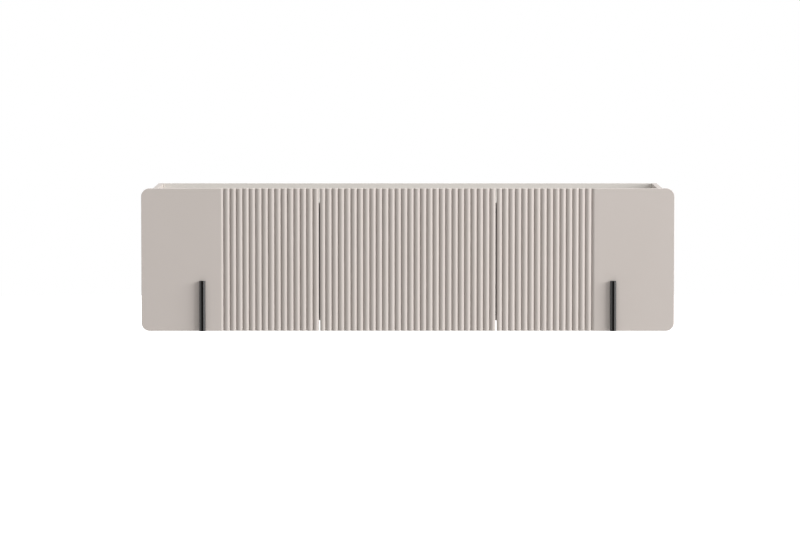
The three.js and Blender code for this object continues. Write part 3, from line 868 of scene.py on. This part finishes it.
def make_push_latch():
    """A case with a sprung plunger on the cabinet's floor, and the striker on the centre front."""
    low = FLOOR + FIT
    axis = low + 7
    front = LATCH_FRONT
    foot = block(
        around(0, 17), (front + 6, front + 60), (low, low + 2), 0.3, corners="z", radius=4
    )
    case = block(
        around(0, 9), (front, front + 66), (low, low + 14), 0.6, steps=3, corners="y", radius=2
    )
    bore = lay(bar(PLUNGER_RADIUS + 0.6, 0, 37, 32, 0), (0, 1, 0), (0, front - 1, axis))
    case = cut(case, bore)
    places = [(x, front + y, low + 2) for x in around(0, 13) for y in (14, 52)]
    screws = heads(plate_head, places, (0, 0, 1))
    parts = [(foot, grey_plastic), (case, grey_plastic), (screws, zinc)]
    make("push_latch", "case", parts)

    seat = BACK + FIT
    tip = (0, seat + 1.5 + FIT, axis)
    stem = lay(bar(PLUNGER_RADIUS, 2.2, 30, 32, 0.3), (0, 1, 0), tip)
    pad = turned([(0, 0), (2.8, 0), (3.8, 0.8), (3.8, 2.3), (0, 2.3)], 32, 0.2)
    lay(pad, (0, 1, 0), tip)
    parts = [(stem, black_plastic), (pad, rubber)]
    make("push_latch_plunger", "sprung", parts)

    plate = block(
        around(0, 12), (seat, seat + 1.4), around(axis, 6.5), 0.3, corners="y", radius=2.5
    )
    screws = heads(flat_head, [(x, seat + 1.3, axis) for x in around(0, 8)], (0, 1, 0))
    make("push_latch_striker", "pressed", [(plate, zinc), (screws, zinc)])


# Wall fixing


def make_wall_fixing():
    """A folded rail with slots for the wall screws, and two hangers with hooks over its lip."""
    rail = folded([(0, -22), (0, 6), (-6.5, 6), (-6.5, 20)], [2.4, 0.4], RAIL_X, 2)
    slots = [
        block(around(x, 13), (-4, 2), around(-10, 3.5), 0, corners="y", radius=3.4)
        for place in RAIL_SLOTS
        for x in (-place, place)
    ]
    make("wall_rail", "folded", [(cut(rail, together(slots)), zinc)])
    left, right = HANGER_X
    front = HANGER_Y[0]
    for side in SIDES:
        flip = side == "right"
        height = (-13.3, CEILING - FIT)
        cover = block(HANGER_X, HANGER_Y, height, 1.2, steps=3, corners="x", radius=3)
        lid_y = (front - 0.3, front + 0.4)
        lid = block((left + 2.5, right - 2.5), lid_y, (-8, 36), 0.3, corners="y", radius=2)
        places = [((left + right) / 2, front + 1.3, z) for z in (0, 26)]
        screws = heads(pan_head, places, (0, -1, 0))
        parts = [(cover, grey_plastic), (lid, grey_plastic), (screws, zinc)]
        make(f"{side}_hanger", "cover", parts, flip)

        root = block(HOOK_X, (-28.3, -25.3), (14, 38), 0.3, corners="y", radius=2)
        arm = folded([(-26, 24.5), (-3, 24.5), (-3, 8)], [3.6], HOOK_X, 3)
        make(f"{side}_hanger_hook", "bent", [(root, zinc), (arm, zinc)], flip)


pan_head = cross_head(4, 1.8, 1.1)
plate_head = cross_head(2.6, 1.1, 0.7)
flat_head = cross_head(3.1, 0.18, 0.6)

make_fronts()
make_handles()
make_boards()
make_back()
make_hinges()
make_struts()
make_catches()
make_push_latch()
make_wall_fixing()
for pattern in (pan_head, plate_head, flat_head):
    bpy.data.meshes.remove(pattern)


# Studio, in metres

FLOOR_HEIGHT = -1.3
FLOOR_RADIUS = 14
FLOOR_SHADE = "#b4b2b0"  # what the floor throws back on the console
FLOOR_SEEN = "#f2f1f0"  # what the camera and a gloss see of it
NEAR_GLOW = 0.25
GLOW_REACH = (1.8, 4.5)
SOFT_LIGHT = 0.29
LAMP_AIM = (0, -0.37, -0.13)
LAMP_DISTANCE = 18
CAMERA_PLACE = (-0.0263, -15.38, 0.854)
CAMERA_TILT = 3.8452
CAMERA_LENS = 200.25


def background_rays(tree):
    """1 for a ray that shows the background: from the camera, off a gloss or through glass."""
    path = add(tree, "ShaderNodeLightPath").outputs
    gloss = add(
        tree,
        "ShaderNodeMath",
        {"operation": "MAXIMUM"},
        {0: path["Is Glossy Ray"], 1: path["Is Transmission Ray"]},
    )
    either = add(
        tree,
        "ShaderNodeMath",
        {"operation": "MAXIMUM"},
        {0: path["Is Camera Ray"], 1: gloss.outputs["Value"]},
    )
    return either.outputs["Value"]


def make_floor():
    """A pale floor well below the console. As a background it is white and also glows, all the
    more the further out, so that it joins the white of the studio and keeps the console's soft
    shadow."""
    material = bpy.data.materials.new("pale_floor")
    material.use_nodes = True
    tree = material.node_tree
    tree.nodes.clear()
    seen = background_rays(tree)
    shade = add(
        tree,
        "ShaderNodeMix",
        {"data_type": "RGBA", 6: colour(FLOOR_SHADE), 7: colour(FLOOR_SEEN)},
        {0: seen},
    )
    place = add(tree, "ShaderNodeTexCoord").outputs["Object"]
    away = add(tree, "ShaderNodeVectorMath", {"operation": "LENGTH"}, {0: place})
    near, far = GLOW_REACH
    share = add(
        tree,
        "ShaderNodeMapRange",
        {
            "interpolation_type": "SMOOTHSTEP",
            "From Min": near,
            "From Max": far,
            "To Min": NEAR_GLOW,
            "To Max": 1,
        },
        {"Value": away.outputs["Value"]},
    )
    strength = add(
        tree, "ShaderNodeMath", {"operation": "MULTIPLY"}, {0: share.outputs["Result"], 1: seen}
    )
    matt = add(tree, "ShaderNodeBsdfDiffuse", {}, {"Color": shade.outputs[2]})
    glow = add(
        tree, "ShaderNodeEmission", {"Color": (1, 1, 1, 1)}, {"Strength": strength.outputs["Value"]}
    )
    both = add(
        tree, "ShaderNodeAddShader", {}, {0: matt.outputs["BSDF"], 1: glow.outputs["Emission"]}
    )
    add(tree, "ShaderNodeOutputMaterial", {}, {"Surface": both.outputs["Shader"]})
    shape = bmesh.new()
    bmesh.ops.create_circle(
        shape,
        cap_ends=True,
        segments=96,
        radius=FLOOR_RADIUS,
        matrix=Matrix.Translation((0, 0, FLOOR_HEIGHT)),
    )
    mesh = as_mesh(shape)
    mesh.materials.append(material)
    floor = bpy.data.objects.new("floor", mesh)
    scene.collection.objects.link(floor)


def make_world():
    """Soft light from all round, which shows as white."""
    world = bpy.data.worlds.new("studio")
    world.use_nodes = True
    scene.world = world
    tree = world.node_tree
    tree.nodes.clear()
    soft = add(tree, "ShaderNodeBackground", {"Color": (1, 1, 1, 1), "Strength": SOFT_LIGHT})
    white = add(tree, "ShaderNodeBackground", {"Color": (1, 1, 1, 1), "Strength": 1})
    mixed = add(
        tree,
        "ShaderNodeMixShader",
        {},
        {
            0: background_rays(tree),
            1: soft.outputs["Background"],
            2: white.outputs["Background"],
        },
    )
    add(tree, "ShaderNodeOutputWorld", {}, {"Surface": mixed.outputs["Shader"]})


def make_lamp(name, towards, size, power):
    """A square soft lamp that looks at the middle of the console from a direction."""
    data = bpy.data.lights.new(name, "AREA")
    data.shape, data.size, data.energy = "SQUARE", size, power
    data.color = (1, 1, 1)
    lamp = bpy.data.objects.new(name, data)
    scene.collection.objects.link(lamp)
    towards = Vector(towards).normalized()
    lamp.location = Vector(LAMP_AIM) + towards * LAMP_DISTANCE
    lamp.rotation_mode = "QUATERNION"
    lamp.rotation_quaternion = towards.to_track_quat("Z", "Y")
    lamp.visible_camera = False


def make_camera():
    """The photograph's view: from far off, a little to the left and above."""
    data = bpy.data.cameras.new("camera")
    data.sensor_width = 36
    data.lens = CAMERA_LENS
    data.clip_end = 200
    camera = bpy.data.objects.new("camera", data)
    scene.collection.objects.link(camera)
    camera.location = CAMERA_PLACE
    camera.rotation_euler = (math.radians(90 - CAMERA_TILT), 0, 0)
    scene.camera = camera


make_floor()
make_world()
make_lamp("window", (0.875, -0.372, 0.309), size=10, power=3680)
make_lamp("ceiling", (0, -0.259, 0.966), size=14, power=2040)
make_camera()
scene.view_settings.view_transform = "Standard"
